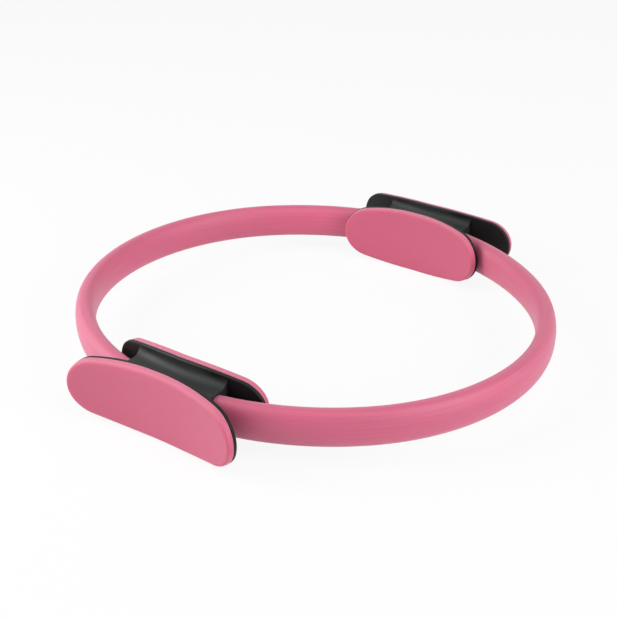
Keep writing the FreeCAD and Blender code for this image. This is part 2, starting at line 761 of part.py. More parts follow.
def build():
    """Every piece of the ring."""
    for name, turn in (("rear", 0.0), ("front", HALF_TURN)):
        hoop_strip(f"{name}_hoop_strip", turn)
        foam_sleeve(f"{name}_foam_sleeve", turn)
    for side, turn in (("right", 0.0), ("left", HALF_TURN)):
        handle_shells(side, turn)
        splice_plate(side, turn)
        clamp_screws(side, turn)
        for place in FLANGES:
            adhesive(side, place, turn)
            pad(side, place, turn)


def sub_parts():
    """The objects that are pieces of the ring, and not what another piece is cut from."""
    used = {tool for o in doc.Objects if o.isDerivedFrom("Part::Boolean") for tool in (o.Base, o.Tool)}
    whole = [o for o in doc.Objects if o.TypeId == "PartDesign::Body" or o.isDerivedFrom("Part::Boolean")]
    return [o for o in whole if o not in used]


def check():
    """Stops the build where anything failed to compute or a piece has no sound solid."""
    for thing in doc.Objects:
        if "Invalid" in thing.State or "Error" in thing.State:
            raise RuntimeError(f"{thing.Label} failed: {thing.State}")
    for piece in sub_parts():
        if piece.Shape.isNull() or not piece.Shape.isValid() or not piece.Shape.Solids:
            raise RuntimeError(f"{piece.Label} has no sound solid")


build()
doc.recompute()
check()
os.makedirs("parts", exist_ok=True)
for piece in sub_parts():
    piece.Shape.exportStep(f"parts/{piece.Label}.step")
    print(piece.Label, len(piece.Shape.Solids), round(piece.Shape.Volume / 1000, 2))
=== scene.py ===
"""Pilates ring: foam, moulded plastic and a studio round the ring's solids.

Metres. The ring lies flat with +Z up and its handles on -X and +X. The hoop is an oval of four
arcs: two through the handles and two between them, which meet where a line through both centres
crosses the hoop.
"""

from math import asin, atan, atan2, copysign, cos, hypot, pi, radians, sin

import bmesh
import bpy
from mathutils import Matrix, Vector


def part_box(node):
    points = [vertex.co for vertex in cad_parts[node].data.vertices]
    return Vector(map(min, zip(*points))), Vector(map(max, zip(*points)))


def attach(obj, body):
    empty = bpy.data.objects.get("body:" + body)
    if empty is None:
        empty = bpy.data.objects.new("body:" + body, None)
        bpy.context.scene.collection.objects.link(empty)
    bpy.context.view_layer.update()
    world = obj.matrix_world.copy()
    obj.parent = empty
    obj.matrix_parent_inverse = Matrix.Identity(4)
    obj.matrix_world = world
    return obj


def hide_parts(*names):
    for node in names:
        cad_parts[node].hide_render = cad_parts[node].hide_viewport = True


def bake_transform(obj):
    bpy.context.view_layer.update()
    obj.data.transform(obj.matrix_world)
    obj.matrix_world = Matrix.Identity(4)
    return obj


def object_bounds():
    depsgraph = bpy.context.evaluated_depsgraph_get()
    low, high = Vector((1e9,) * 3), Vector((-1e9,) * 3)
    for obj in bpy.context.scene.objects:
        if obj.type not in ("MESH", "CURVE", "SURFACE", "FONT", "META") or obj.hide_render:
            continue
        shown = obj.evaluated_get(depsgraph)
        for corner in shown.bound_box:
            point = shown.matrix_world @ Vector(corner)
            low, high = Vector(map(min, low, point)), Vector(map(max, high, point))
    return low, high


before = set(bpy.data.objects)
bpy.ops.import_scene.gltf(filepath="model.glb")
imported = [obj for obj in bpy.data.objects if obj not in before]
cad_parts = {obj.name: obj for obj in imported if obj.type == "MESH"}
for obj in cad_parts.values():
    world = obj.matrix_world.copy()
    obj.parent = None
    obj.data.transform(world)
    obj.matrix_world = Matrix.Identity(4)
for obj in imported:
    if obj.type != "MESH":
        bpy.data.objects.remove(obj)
CAD_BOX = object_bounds()

bl_info = {
    "name": "Pilates Ring",
    "version": (1, 0, 0),
    "blender": (4, 5, 0),
    "location": "View3D > Sidebar > Pilates Ring",
    "description": "Foam sleeves, handle pads, finishes and a studio for a pilates ring",
    "category": "Object",
}

MILLIMETRE = 0.001
# Points this near to each other are one point
SAME_PLACE = 0.01 * MILLIMETRE
# Which way along X each handle is from the ring's middle
HANDLES = {"left": -1, "right": 1}
# Which way the hollow side of a handle's pad faces: outwards or to the ring's middle
PADS = {"outer": 1, "inner": -1}
# How far each half hoop is turned from the rear one
HALVES = {"rear": 0.0, "front": pi}
MIDDLE_HEIGHT = CAD_BOX[1].z / 2
SLEEVE_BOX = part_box("rear_foam_sleeve")


def length(name, description, millimetres):
    """A length that a user would change."""
    return bpy.props.FloatProperty(
        name=name, description=description, default=millimetres * MILLIMETRE,
        subtype="DISTANCE", unit="LENGTH",
    )


def colour(name, description, red, green, blue):
    """A colour that a user would change, in linear light."""
    return bpy.props.FloatVectorProperty(
        name=name, description=description, default=(red, green, blue), size=3,
        subtype="COLOR", min=0.0, max=1.0,
    )


def number(name, description, value):
    """A plain number that a user would change."""
    return bpy.props.FloatProperty(name=name, description=description, default=value)


def angle(name, description, degrees):
    """An angle that a user would change."""
    return bpy.props.FloatProperty(
        name=name, description=description, default=radians(degrees), subtype="ANGLE", unit="ROTATION"
    )


class RingSizes(bpy.types.PropertyGroup):
    """Sizes of the hoop, its foam and the pads."""

    hoop_radius: length("Hoop Radius", "Radius of the strip's middle through a handle", 199.0)
    end_shift: length("End Shift", "From the ring's centre to the centre of a handle's arc", 24.0)
    side_shift: length("Side Shift", "From the ring's centre to the centre of a side arc", 22.0)
    sleeve_depth: length("Sleeve Depth", "Depth of the foam sleeve across the hoop", 16.1)
    sleeve_height: length(
        "Sleeve Height", "Height of the foam sleeve", (SLEEVE_BOX[1].z - SLEEVE_BOX[0].z) / MILLIMETRE
    )
    sleeve_fullness: number("Sleeve Fullness", "Its section: 2 is an ellipse, more is boxier", 2.3)
    strip_slot_depth: length("Slot Depth", "Depth of the slot that the strip goes through", 3.3)
    strip_slot_height: length("Slot Height", "Height of the slot that the strip goes through", 20.3)
    pad_thickness: length("Pad Thickness", "Thickness of the foam pads", 5.5)
    pad_end_drop: length("Pad End Drop", "How far the ends' rounding is under half the height", 4.0)
    pad_flat: length("Pad Flat", "Straight stretch in the middle of a pad's long edges", 12.0)
    pad_back_rim: length("Pad Back Rim", "Rounding of a pad's edge towards its flange", 0.3)
    pad_crown: length("Pad Crown", "How far the middle of a pad's face stands proud", 0.3)
    outer_lean: length("Outer Lean", "How far an outer pad's long edges lean in towards its face", 1.6)
    outer_rim: length("Outer Rim", "Rounding of an outer pad's edge towards the hand", 1.9)
    outer_squareness: number("Outer Squareness", "Outer pads' ends: 1 is square, 0 straight out", 0.55)
    outer_bow: length("Outer Bow", "Radius of the back of an outer pad", 255.4)
    inner_lean: length("Inner Lean", "How far an inner pad's long edges lean in towards its face", 0.5)
    inner_rim: length("Inner Rim", "Rounding of an inner pad's edge towards the leg", 1.1)
    inner_squareness: number("Inner Squareness", "Inner pads' ends: 1 is square, 0 straight out", 1.0)
    inner_bow: length("Inner Bow", "Radius of the back of an inner pad", 210.4)
    web_length: length("Web Length", "Length of the web between a handle's flanges", 82.0)
    web_out: length("Web Out", "From the middle of the strip out to the web's edge", 8.4)
    web_in: length("Web In", "From the middle of the strip in to the web's edge", 13.0)


class RingFinishes(bpy.types.PropertyGroup):
    """Colours of the foam, the plastic and the fittings."""

    sleeve_pink: colour("Sleeve Pink", "Skin of the extruded foam sleeve", 0.590, 0.080, 0.180)
    pad_pink: colour("Pad Pink", "Face of the foam pads", 0.560, 0.070, 0.162)
    # The cut edge's paler pink is partly the cut foam's own tone and partly painted light
    cut_pink_and_painted_light: colour("Cut Pink", "Cut edge of the foam pads", 0.66, 0.150, 0.245)
    shell_black: colour("Shell Black", "Moulded plastic of the handles' flanges", 0.0035, 0.0045, 0.0044)
    # The web's lighter colour is a painted reflection on the same black plastic
    web_painted_reflection: colour("Web Black", "Painted reflection on the black plastic of the web between the flanges", 0.026, 0.0275, 0.027)
    strip_grey: colour("Strip Grey", "Glass-fibre strip of the hoop", 0.10, 0.10, 0.09)
    steel_grey: colour("Steel Grey", "Screws and splice plates", 0.55, 0.55, 0.56)
    adhesive_white: colour("Adhesive White", "Sheets under the pads", 0.75, 0.74, 0.70)


class RingStudio(bpy.types.PropertyGroup):
    """The camera, the light and the floor."""

    azimuth: angle("Azimuth", "Where the camera stands round the ring", -54.5)
    elevation: angle("Elevation", "How far the camera looks down", 27.2)
    distance: length("Distance", "From the camera to the ring's centre", 991.4)
    focal_length: number("Focal Length", "Focal length on the sensor, in millimetres", 71.13)
    shift_x: number("Shift X", "Sideways shift of the picture, as a share of its side", -0.0073)
    shift_y: number("Shift Y", "Upward shift of the picture, as a share of its side", -0.0034)
    floor_radius: length("Floor Radius", "Radius of the floor", 4000.0)


def sizes():
    """The sizes as the user has set them."""
    return bpy.context.scene.ring_sizes


def finishes():
    """The colours as the user has set them."""
    return bpy.context.scene.ring_finishes


def studio():
    """The studio as the user has set it."""
    return bpy.context.scene.ring_studio


# Meshes


def new_piece(name, builder):
    """An object of the finished mesh, at the origin."""
    mesh = bpy.data.meshes.new(name)
    builder.to_mesh(mesh)
    builder.free()
    piece = bpy.data.objects.new(name, mesh)
    bpy.context.scene.collection.objects.link(piece)
    return piece


def smooth_outside(builder):
    """Points every face outwards and shades it smooth."""
    bmesh.ops.remove_doubles(builder, verts=builder.verts, dist=SAME_PLACE)
    bmesh.ops.recalc_face_normals(builder, faces=builder.faces)
    for face in builder.faces:
        face.smooth = True


def hoop_arcs():
    """The corner angle, and the centre and radius of the first two of the rear half's three arcs."""
    ring = sizes()
    corner = atan(ring.side_shift / ring.end_shift)
    side_radius = ring.hoop_radius - hypot(ring.end_shift, ring.side_shift)
    return corner, (-ring.end_shift, ring.hoop_radius), (ring.side_shift, side_radius)


def spin_half_hoop(builder, loop, start, spacing):
    """Carries a closed loop from its place in the right handle round the rear half to the left one."""
    corner, (end_centre, end_radius), (side_centre, side_radius) = hoop_arcs()
    turns = (
        ((end_centre, 0.0), end_radius, corner - start),
        ((0.0, side_centre), side_radius, pi - 2 * corner),
        ((-end_centre, 0.0), end_radius, corner - start),
    )
    for (x, y), radius, turn in turns:
        made = bmesh.ops.spin(
            builder, geom=loop, cent=(x, y, 0.0), axis=(0.0, 0.0, 1.0), angle=turn,
            steps=max(1, round(turn * radius / spacing)), use_merge=False,
        )
        loop = made["geom_last"]
    return [part for part in loop if isinstance(part, bmesh.types.BMEdge)]


def loop_at_start(builder, points, start):
    """A closed loop where the right handle lets go. Its points are (out, up) from the strip's middle."""
    end_centre, end_radius = hoop_arcs()[1]
    verts = []
    for out, up in points:
        radius = end_radius + out
        verts.append(builder.verts.new((end_centre + radius * cos(start), radius * sin(start), up)))
    edges = [builder.edges.new(pair) for pair in zip(verts, verts[1:] + verts[:1])]
    return verts + edges, edges


def sleeve_section(count):
    """The foam sleeve's outline, round but fuller than an ellipse."""
    ring = sizes()
    power = 2 / ring.sleeve_fullness
    points = []
    for step in range(count):
        across, up = cos(2 * pi * step / count), sin(2 * pi * step / count)
        points.append((
            copysign(abs(across) ** power, across) * ring.sleeve_depth / 2,
            copysign(abs(up) ** power, up) * ring.sleeve_height / 2,
        ))
    return points


def slot_section():
    """The slot through the foam for the strip."""
    ring = sizes()
    half_depth, half_height = ring.strip_slot_depth / 2, ring.strip_slot_height / 2
    return [
        (half_depth, half_height), (-half_depth, half_height),
        (-half_depth, -half_height), (half_depth, -half_height),
    ]


def foam_lay(point):
    """Where a point of the rear half lies in a straightened sleeve: outwards, upwards and along."""
    corner, (end_centre, end_radius), (side_centre, side_radius) = hoop_arcs()
    x, y, z = abs(point.x), point.y, point.z
    turn = atan2(y, x - end_centre)
    if turn < corner:
        along = end_radius * turn
        out = hypot(x - end_centre, y) - end_radius
    else:
        turn = atan2(y - side_centre, x)
        along = end_radius * corner + side_radius * (turn - corner)
        out = hypot(x, y - side_centre) - side_radius
    return Vector((out, z, copysign(along, point.x)))


def sleeve_mesh(turn):
    """Half a hoop of foam tube with the slot for its strip."""
    ring = sizes()
    section_points = 56
    ring_spacing = 3 * MILLIMETRE
    start = asin(SLEEVE_BOX[0].y / (ring.hoop_radius - ring.sleeve_depth / 2))
    builder = bmesh.new()
    outer, outer_edges = loop_at_start(builder, sleeve_section(section_points), start)
    inner, inner_edges = loop_at_start(builder, slot_section(), start)
    outer_last = spin_half_hoop(builder, outer, start, ring_spacing)
    inner_last = spin_half_hoop(builder, inner, start, ring_spacing)
    for rims in (outer_edges + inner_edges, outer_last + inner_last):
        bmesh.ops.triangle_fill(builder, use_beauty=True, edges=rims)
    smooth_outside(builder)
    lay = builder.verts.layers.float_vector.new("foam_lay")
    for vert in builder.verts:
        vert[lay] = foam_lay(vert.co)
    bmesh.ops.rotate(builder, verts=builder.verts, cent=(0, 0, 0), matrix=Matrix.Rotation(turn, 3, "Z"))
    bmesh.ops.translate(builder, verts=builder.verts, vec=(0, 0, MIDDLE_HEIGHT))
    return builder


def pad_outline(builder, half_length, half_height):
    """A pad's outline in the plane of its back: straight long edges, wide shoulders, round ends."""
    ring = sizes()
    half_flat, end = ring.pad_flat / 2, half_height - ring.pad_end_drop
    run = half_length - half_flat - end
    lean = 2 * atan((half_height - end) / run)
    shoulder = run / sin(lean) + end
    arc_steps = 16
    first = builder.verts.new((0.0, 0.0, half_height))
    corner = builder.verts.new((0.0, half_flat, half_height))
    builder.edges.new((first, corner))
    made = bmesh.ops.spin(
        builder, geom=[corner], cent=(0.0, half_flat, half_height - shoulder), axis=(-1.0, 0.0, 0.0),
        angle=lean, steps=arc_steps,
    )
    bmesh.ops.spin(
        builder, geom=made["geom_last"], cent=(0.0, half_length - end, 0.0), axis=(-1.0, 0.0, 0.0),
        angle=pi / 2 - lean, steps=arc_steps,
    )
    for axis in ("Y", "Z"):
        bmesh.ops.mirror(
            builder, geom=builder.verts[:] + builder.edges[:], matrix=Matrix.Identity(4),
            merge_dist=SAME_PLACE, axis=axis,
        )
    bmesh.ops.remove_doubles(builder, verts=builder.verts, dist=SAME_PLACE)
    return bmesh.ops.contextual_create(builder, geom=builder.edges[:])["faces"]


def slice_mesh(builder, normal, half_span, spacing):
    """Cuts the mesh across at even steps, so that it can bend."""
    count = round(2 * half_span / spacing)
    for step in range(1, count):
        place = Vector(normal) * (step / count * 2 - 1) * half_span
        bmesh.ops.bisect_plane(
            builder, geom=builder.verts[:] + builder.edges[:] + builder.faces[:],
            plane_co=place, plane_no=normal,
        )


def rim_edges(builder, depth):
    """The edges round the outline at one depth."""
    return [
        edge for edge in builder.edges
        if all(abs(vert.co.x - depth) < SAME_PLACE for vert in edge.verts)
    ]


def pad_mesh(node, side, way, bow, lean, rim, squareness):
    """A foam pad with leaning, soft rims and a slight crown, bent into the hollow of its flange."""
    ring = sizes()
    face_segments, back_segments = 5, 2
    length_spacing, height_spacing = 3 * MILLIMETRE, 4 * MILLIMETRE
    # The higher, the nearer to a pad's ends its cut edge stays pale; its fade to the face colour at the
    # ends is painted shade
    end_shade_power = 8
    low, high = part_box(node)
    half_length, half_height = (high.y - low.y) / 2, (high.z - low.z) / 2
    reaches = sorted((abs(low.x), abs(high.x)))
    back = reaches[0] if way > 0 else reaches[1]
    builder = bmesh.new()
    faces = pad_outline(builder, half_length, half_height)
    made = bmesh.ops.extrude_face_region(builder, geom=faces, use_keep_orig=True)
    raised = [part for part in made["geom"] if isinstance(part, bmesh.types.BMVert)]
    bmesh.ops.translate(builder, verts=raised, vec=(ring.pad_thickness, 0.0, 0.0))
    bmesh.ops.scale(builder, verts=raised, vec=(1.0, 1.0, 1 - lean / half_height))
    cut_edge_and_painted_light = builder.verts.layers.float.new("cut_edge_and_painted_light")
    rims = ((ring.pad_thickness, rim, face_segments), (0.0, ring.pad_back_rim, back_segments))
    for depth, rounding, segments in rims:
        bmesh.ops.bevel(
            builder, geom=rim_edges(builder, depth), offset=rounding, offset_type="OFFSET",
            segments=segments, profile=0.5, affect="EDGES", clamp_overlap=True, material=-1,
        )
    slice_mesh(builder, (0.0, 1.0, 0.0), half_length, length_spacing)
    slice_mesh(builder, (0.0, 0.0, 1.0), half_height, height_spacing)
    for vert in builder.verts:
        depth, along, up = vert.co
        on_side = depth < ring.pad_thickness - rim / 2
        # Pale cut edge on the pad's sides, partly painted light, fading to the face colour at the ends
        # as painted shade
        vert[cut_edge_and_painted_light] = 1 - (along / half_length) ** end_shade_power if on_side else 0.0
        share = max(0.0, 1 - (along / half_length) ** 2) * max(0.0, 1 - (up / half_height) ** 2)
        if depth > ring.pad_thickness - SAME_PLACE:
            depth += ring.pad_crown * share
        turn = asin(along / bow)
        outwards = back + way * (bow - (bow - depth) * cos(turn))
        sideways = (bow - squareness * depth) * sin(turn)
        vert.co = (side * outwards, sideways, up + MIDDLE_HEIGHT)
    smooth_outside(builder)
    return builder


def strip_mesh(node):
    """A copy of a strip's mesh, with its triangles joined up."""
    builder = bmesh.new()
    builder.from_mesh(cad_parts[node].data)
    bmesh.ops.remove_doubles(builder, verts=builder.verts, dist=SAME_PLACE)
    return builder


def bend_with_hoop(piece):
    """Bakes the piece's transform into its mesh."""
    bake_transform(piece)


# Node groups and materials


def socket(sockets, identifier):
    """The one of a node's sockets with this identifier, where several share a name."""
    return next(found for found in sockets if found.identifier == identifier)


def add_node(tree, kind, **inputs):
    """A node with values on its named inputs."""
    node = tree.nodes.new(kind)
    for name, value in inputs.items():
        node.inputs[name.replace("_", " ")].default_value = value
    return node


def calculate(tree, operation, *values):
    """The result of a Math node on sockets and numbers."""
    node = tree.nodes.new("ShaderNodeMath")
    node.operation = operation
    for taker, value in zip(node.inputs, values):
        if isinstance(value, bpy.types.NodeSocket):
            tree.links.new(value, taker)
        else:
            taker.default_value = value
    return node.outputs["Value"]


def new_group(name, sockets):
    """A shader node group. Each socket is a name, whether it goes in or out, its kind and its value."""
    group = bpy.data.node_groups.new(name, "ShaderNodeTree")
    for title, way, kind, value in sockets:
        made = group.interface.new_socket(name=title, in_out=way, socket_type=kind)
        if value is not None:
            made.default_value = value
    return group, group.nodes.new("NodeGroupInput"), group.nodes.new("NodeGroupOutput")


def grain_group():
    """Fine grain on a coarse mottle: a tinted colour, a varied roughness and a height."""
    name = "fine_grain"
    if name in bpy.data.node_groups:
        return bpy.data.node_groups[name]
    group, given, result = new_group(name, (
        ("Vector", "INPUT", "NodeSocketVector", None),
        ("Colour", "INPUT", "NodeSocketColor", None),
        ("Grain Scale", "INPUT", "NodeSocketFloat", 1500.0),
        ("Mottle Scale", "INPUT", "NodeSocketFloat", 40.0),
        ("Tint Spread", "INPUT", "NodeSocketFloat", 0.06),
        ("Roughness", "INPUT", "NodeSocketFloat", 0.6),
        ("Roughness Spread", "INPUT", "NodeSocketFloat", 0.1),
        ("Colour", "OUTPUT", "NodeSocketColor", None),
        ("Roughness", "OUTPUT", "NodeSocketFloat", None),
        ("Height", "OUTPUT", "NodeSocketFloat", None),
    ))
    links = group.links
    grain = add_node(group, "ShaderNodeTexNoise", Detail=3.0, Roughness=0.6)
    mottle = add_node(group, "ShaderNodeTexNoise", Detail=4.0, Roughness=0.55)
    for texture, scale in ((grain, "Grain Scale"), (mottle, "Mottle Scale")):
        links.new(given.outputs["Vector"], texture.inputs["Vector"])
        links.new(given.outputs[scale], texture.inputs["Scale"])
    both = calculate(group, "ADD", grain.outputs["Fac"], mottle.outputs["Fac"])
    centred = calculate(group, "SUBTRACT", both, 1.0)
    tint = calculate(group, "MULTIPLY_ADD", centred, given.outputs["Tint Spread"], 1.0)
    tinted = add_node(group, "ShaderNodeVectorMath")
    tinted.operation = "SCALE"
    links.new(given.outputs["Colour"], tinted.inputs["Vector"])
    links.new(tint, tinted.inputs["Scale"])
    rough = calculate(
        group, "MULTIPLY_ADD", centred, given.outputs["Roughness Spread"], given.outputs["Roughness"]
    )
    links.new(tinted.outputs["Vector"], result.inputs["Colour"])
    links.new(rough, result.inputs["Roughness"])
    links.new(grain.outputs["Fac"], result.inputs["Height"])
    return group


def new_material(name):
    """A material with an empty Principled shader, and its tree and that shader."""
    material = bpy.data.materials.new(name)
    material.use_nodes = True
    tree = material.node_tree
    shader = tree.nodes["Principled BSDF"]
    return material, tree, shader


def object_place(tree):
    """The coordinates of the piece itself."""
    return tree.nodes.new("ShaderNodeTexCoord").outputs["Object"]


def add_grain(tree, shader, place, tone, **values):
    """Places the grain group in a material and gives its colour and roughness to the shader."""
    grain = tree.nodes.new("ShaderNodeGroup")
    grain.node_tree = grain_group()
    tree.links.new(place, grain.inputs["Vector"])
    if isinstance(tone, bpy.types.NodeSocket):
        tree.links.new(tone, grain.inputs["Colour"])
    else:
        grain.inputs["Colour"].default_value = (*tone, 1.0)
    for name, value in values.items():
        grain.inputs[name.replace("_", " ").title()].default_value = value
    tree.links.new(grain.outputs["Colour"], shader.inputs["Base Color"])
    tree.links.new(grain.outputs["Roughness"], shader.inputs["Roughness"])
    return grain.outputs["Height"]


def add_bump(tree, shader, height, depth):
    """Raises the surface by a height, as deep as given."""
    bump = add_node(tree, "ShaderNodeBump", Strength=1.0, Distance=depth)
    tree.links.new(height, bump.inputs["Height"])
    tree.links.new(bump.outputs["Normal"], shader.inputs["Normal"])


def mix_tones(tree, share, first, second):
    """A colour between two, by a share from the surface."""
    tone = tree.nodes.new("ShaderNodeMix")
    tone.data_type = "RGBA"
    socket(tone.inputs, "A_Color").default_value = (*first, 1.0)
    socket(tone.inputs, "B_Color").default_value = (*second, 1.0)
    tree.links.new(share, socket(tone.inputs, "Factor_Float"))
    return socket(tone.outputs, "Result_Color")


def set_foam_depth(shader):
    """Lets light into the foam a little, red furthest, and gives it a soft skin."""
    shader.inputs["Subsurface Weight"].default_value = 0.4
    shader.inputs["Subsurface Radius"].default_value = (1.0, 0.2, 0.3)
    shader.inputs["Subsurface Scale"].default_value = 8 * MILLIMETRE
    shader.inputs["Sheen Roughness"].default_value = 0.5
    shader.inputs["Specular IOR Level"].default_value = 1.0


def sleeve_foam():
    """Extruded foam: a matt skin with faint lines that run the sleeve's length."""
    material, tree, shader = new_material("sleeve_foam")
    # How fast the lines change along the sleeve, against across it
    run_share = 0.012
    # How much of the height is grain, against the lines
    grain_share = 0.35
    lay = tree.nodes.new("ShaderNodeAttribute")
    lay.attribute_name = "foam_lay"
    stretched = add_node(tree, "ShaderNodeMapping", Scale=(1.0, 1.0, run_share))
    tree.links.new(lay.outputs["Vector"], stretched.inputs["Vector"])
    lines = add_node(tree, "ShaderNodeTexNoise", Scale=950.0, Detail=2.0, Roughness=0.5)
    tree.links.new(stretched.outputs["Vector"], lines.inputs["Vector"])
    shade = add_node(tree, "ShaderNodeMapRange", From_Min=0.3, From_Max=0.7, To_Min=0.94, To_Max=1.06)
    tree.links.new(lines.outputs["Fac"], shade.inputs["Value"])
    lined = tree.nodes.new("ShaderNodeVectorMath")
    lined.operation = "SCALE"
    lined.inputs["Vector"].default_value = finishes().sleeve_pink
    tree.links.new(shade.outputs["Result"], lined.inputs["Scale"])
    height = add_grain(
        tree, shader, lay.outputs["Vector"], lined.outputs["Vector"],
        grain_scale=1400.0, mottle_scale=35.0, tint_spread=0.07, roughness=0.60, roughness_spread=0.12,
    )
    both = calculate(tree, "MULTIPLY_ADD", height, grain_share, lines.outputs["Fac"])
    add_bump(tree, shader, both, depth=0.2 * MILLIMETRE)
    shader.inputs["Sheen Weight"].default_value = 0.3
    set_foam_depth(shader)
    return material


def pad_foam():
    """Die-cut foam: a fine pebbled skin on the face, and paler, more open foam on the cut edge, whose
    paleness is partly painted light and fades to painted shade at the pad's ends.
    """
    material, tree, shader = new_material("pad_foam")
    edge = tree.nodes.new("ShaderNodeAttribute")
    edge.attribute_name = "cut_edge_and_painted_light"
    # Paler cut edge: partly the foam's own tone, partly painted light, with painted shade at the pad's
    # ends
    tone = mix_tones(tree, edge.outputs["Fac"], finishes().pad_pink, finishes().cut_pink_and_painted_light)
    height = add_grain(
        tree, shader, object_place(tree), tone,
        grain_scale=1100.0, mottle_scale=30.0, tint_spread=0.07, roughness=0.66, roughness_spread=0.12,
    )
    add_bump(tree, shader, height, depth=0.15 * MILLIMETRE)
    shader.inputs["Sheen Weight"].default_value = 0.2
    set_foam_depth(shader)
    return material


def within(tree, place, low, high, border):
    """A mask that is 1 between two places and fades out over a border round each."""
    middle, half = (low + high) / 2, (high - low) / 2
    away = calculate(tree, "ABSOLUTE", calculate(tree, "SUBTRACT", place, middle))
    fade = add_node(
        tree, "ShaderNodeMapRange",
        From_Min=half - border, From_Max=half + border, To_Min=1.0, To_Max=0.0,
    )
    fade.interpolation_type = "SMOOTHSTEP"
    tree.links.new(away, fade.inputs["Value"])
    return fade.outputs["Result"]


def painted_reflection_mask(tree, place):
    """1 on the web of either handle, between its flanges, where the painted reflection goes."""
    ring = sizes()
    border = 1 * MILLIMETRE
    strip_middle = ring.hoop_radius - ring.end_shift
    axes = tree.nodes.new("ShaderNodeSeparateXYZ")
    tree.links.new(place, axes.inputs["Vector"])
    outwards = calculate(tree, "ABSOLUTE", axes.outputs["X"])
    across = within(tree, outwards, strip_middle - ring.web_in, strip_middle + ring.web_out, border)
    along = within(tree, axes.outputs["Y"], -ring.web_length / 2, ring.web_length / 2, border)
    return calculate(tree, "MULTIPLY", across, along)


def shell_plastic():
    """Moulded plastic with a faint spark-eroded grain, deep black flanges and a web made lighter by a
    painted reflection.
    """
    material, tree, shader = new_material("shell_plastic")
    place = object_place(tree)
    # The web gets a lighter colour than the flanges: a painted reflection
    tone = mix_tones(tree, painted_reflection_mask(tree, place), finishes().shell_black, finishes().web_painted_reflection)
    height = add_grain(
        tree, shader, place, tone,
        grain_scale=2200.0, mottle_scale=60.0, tint_spread=0.25, roughness=0.5, roughness_spread=0.10,
    )
    add_bump(tree, shader, height, depth=0.02 * MILLIMETRE)
    shader.inputs["Specular IOR Level"].default_value = 0.25
    return material


def strip_fibreglass():
    """Pultruded glass fibre, with strands along the strip."""
    material, tree, shader = new_material("strip_fibreglass")
    # How much faster the strands change up the strip than along it
    strand_squeeze = 30.0
    stretched = add_node(tree, "ShaderNodeMapping", Scale=(1.0, 1.0, strand_squeeze))
    tree.links.new(object_place(tree), stretched.inputs["Vector"])
    height = add_grain(
        tree, shader, stretched.outputs["Vector"], tuple(finishes().strip_grey),
        grain_scale=120.0, mottle_scale=20.0, tint_spread=0.4, roughness=0.45, roughness_spread=0.1,
    )
    add_bump(tree, shader, height, depth=0.05 * MILLIMETRE)
    return material


def fastener_steel():
    """Zinc-plated steel."""
    material, tree, shader = new_material("fastener_steel")
    height = add_grain(
        tree, shader, object_place(tree), tuple(finishes().steel_grey),
        grain_scale=900.0, mottle_scale=80.0, tint_spread=0.15, roughness=0.35, roughness_spread=0.15,
    )
    add_bump(tree, shader, height, depth=0.01 * MILLIMETRE)
    shader.inputs["Metallic"].default_value = 1.0
    return material


def adhesive_sheet():
    """Double-sided foam tape."""
    material, tree, shader = new_material("adhesive_sheet")
    height = add_grain(
        tree, shader, object_place(tree), tuple(finishes().adhesive_white),
        grain_scale=1500.0, mottle_scale=50.0, tint_spread=0.1, roughness=0.7, roughness_spread=0.1,
    )
    add_bump(tree, shader, height, depth=0.03 * MILLIMETRE)
    return material


def finish_node(node, material):
    """Gives a node of the frame its finish."""
    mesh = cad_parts[node].data
    mesh.materials.clear()
    mesh.materials.append(material)


# Operators


class RING_OT_foam_sleeves(bpy.types.Operator):
    """Make the two foam sleeves over the hoop's strips"""

    bl_idname = "ring.foam_sleeves"
    bl_label = "Foam Sleeves"

    def execute(self, context):
        material = sleeve_foam()
        for half, turn in HALVES.items():
            piece = new_piece(f"{half}_sleeve", sleeve_mesh(turn))
            piece.data.materials.append(material)
            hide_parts(f"{half}_foam_sleeve")
            bend_with_hoop(piece)
        return {"FINISHED"}


class RING_OT_hoop_strips(bpy.types.Operator):
    """Make the two half hoops of flat strip, which bend as the ring is squeezed"""

    bl_idname = "ring.hoop_strips"
    bl_label = "Hoop Strips"

    def execute(self, context):
        material = strip_fibreglass()
        for half in HALVES:
            node = f"{half}_hoop_strip"
            piece = new_piece(f"{half}_strip", strip_mesh(node))
            piece.data.materials.clear()
            piece.data.materials.append(material)
            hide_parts(node)
            bend_with_hoop(piece)
        return {"FINISHED"}


class RING_OT_handle_pads(bpy.types.Operator):
    """Make the four foam pads of the handles"""

    bl_idname = "ring.handle_pads"
    bl_label = "Handle Pads"

    def execute(self, context):
        material = pad_foam()
        ring = sizes()
        shapes = {
            "outer": (ring.outer_bow, ring.outer_lean, ring.outer_rim, ring.outer_squareness),
            "inner": (ring.inner_bow, ring.inner_lean, ring.inner_rim, ring.inner_squareness),
        }
        for handle, side in HANDLES.items():
            for place, way in PADS.items():
                node = f"{handle}_{place}_pad"
                piece = new_piece(f"{handle}_{place}_foam", pad_mesh(node, side, way, *shapes[place]))
                piece.data.materials.append(material)
                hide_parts(node)
                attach(piece, f"{handle}_handle")
        return {"FINISHED"}


class RING_OT_handle_shells(bpy.types.Operator):
    """Finish the moulded shells of the handles"""

    bl_idname = "ring.handle_shells"
    bl_label = "Handle Shells"

    def execute(self, context):
        material = shell_plastic()
        for handle in HANDLES:
            for place in PADS:
                finish_node(f"{handle}_{place}_shell", material)
        return {"FINISHED"}


class RING_OT_fixings(bpy.types.Operator):
    """Finish the screws, splice plates and adhesive sheets inside the handles"""

    bl_idname = "ring.fixings"
    bl_label = "Fixings"

    def execute(self, context):
        steel, sheet = fastener_steel(), adhesive_sheet()
        for handle in HANDLES:
            finish_node(f"{handle}_clamp_screws", steel)
            finish_node(f"{handle}_splice_plate", steel)
            for place in PADS:
                finish_node(f"{handle}_{place}_pad_adhesive", sheet)
        return {"FINISHED"}


# Stage


def direction(azimuth, elevation):
    """The way from the ring to something that stands round it."""
    return Vector((sin(azimuth) * cos(elevation), -cos(azimuth) * cos(elevation), sin(elevation)))


